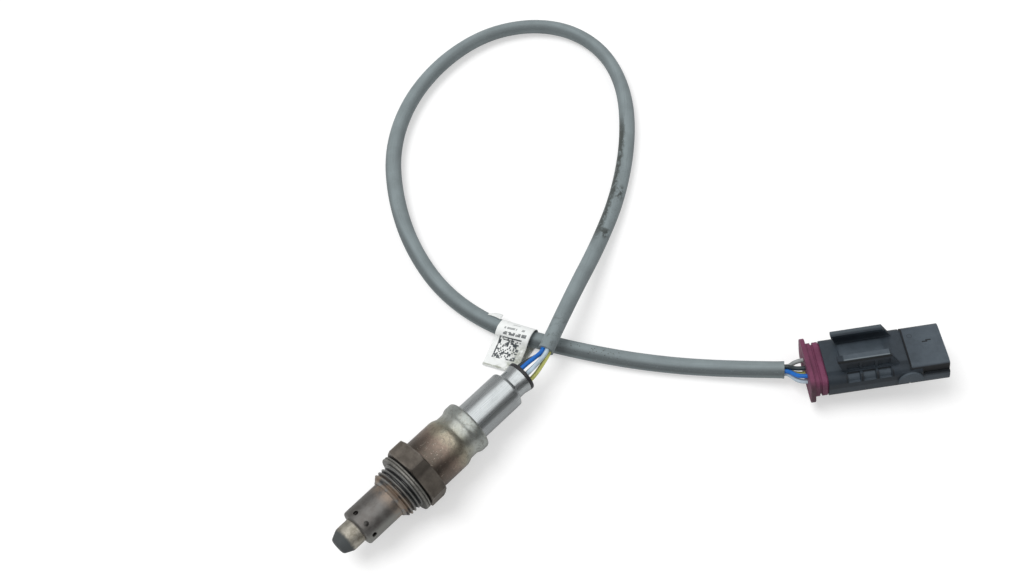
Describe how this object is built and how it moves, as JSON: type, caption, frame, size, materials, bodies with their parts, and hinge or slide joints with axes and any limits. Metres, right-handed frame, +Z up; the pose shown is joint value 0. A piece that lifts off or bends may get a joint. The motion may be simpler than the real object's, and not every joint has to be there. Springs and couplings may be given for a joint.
{
  "type": "oxygen sensor",
  "caption": "Exhaust oxygen sensor: threaded hex shell, perforated tip tubes, heat-tinted sleeve, grey sheathed lead laid in a loop and a black plug with a plum cover.",
  "frame": {"origin": "on the sensor's axis, in the sealing face of the crush gasket, where the thread ends", "axes": "+X along the sensor from its tip to its lead, +Z up from the surface it lies on, +Y to the side of the lead's loop"},
  "size_m": [0.2152, 0.2302, 0.0252],
  "materials": {
    "shell_steel": "heat stained",
    "gasket_steel": "satin",
    "shield_steel": "sooty satin",
    "tinted_steel": "heat tinted",
    "bright_steel": "bright drawn",
    "plain_steel": "satin",
    "ceramic": "matte",
    "powder": "pressed powder",
    "contact_metal": "satin",
    "black_rubber": "matte",
    "seal_rubber": "matte",
    "grey_sheath": "soft satin",
    "tag_film": "satin film",
    "black_plastic": "moulded",
    "plum_plastic": "moulded",
    "wire_yellow": "satin",
    "wire_white": "satin",
    "wire_blue": "satin",
    "wire_black": "satin",
    "wire_grey": "satin"
  },
  "bodies": {
    "root": {"hex_shell": "shell_steel", "seal_gasket": "gasket_steel", "outer_shield": "shield_steel", "inner_shield": "shield_steel", "sensing_element": "ceramic", "front_ceramic": "ceramic", "powder_seal": "powder", "rear_ceramic": "ceramic", "press_ring": "plain_steel", "front_sleeve": "tinted_steel", "rear_sleeve": "bright_steel", "carrier_upper": "ceramic", "carrier_lower": "ceramic", "clamp_ring": "plain_steel", "contact_yellow": "contact_metal", "contact_white": "contact_metal", "contact_blue": "contact_metal", "contact_black": "contact_metal", "contact_grey": "contact_metal", "grommet": "black_rubber", "cable_sheath": "grey_sheath", "wire_yellow": "wire_yellow", "wire_white": "wire_white", "wire_blue": "wire_blue", "wire_black": "wire_black", "wire_grey": "wire_grey", "wire_tag": "tag_film", "connector_housing": "black_plastic", "connector_cover": "plum_plastic", "wire_seal": "seal_rubber", "blank_plug": "seal_rubber", "pin_lock": "black_plastic", "pin_yellow": "contact_metal", "pin_white": "contact_metal", "pin_blue": "contact_metal", "pin_black": "contact_metal", "pin_grey": "contact_metal"}
  },
  "joints": []
}
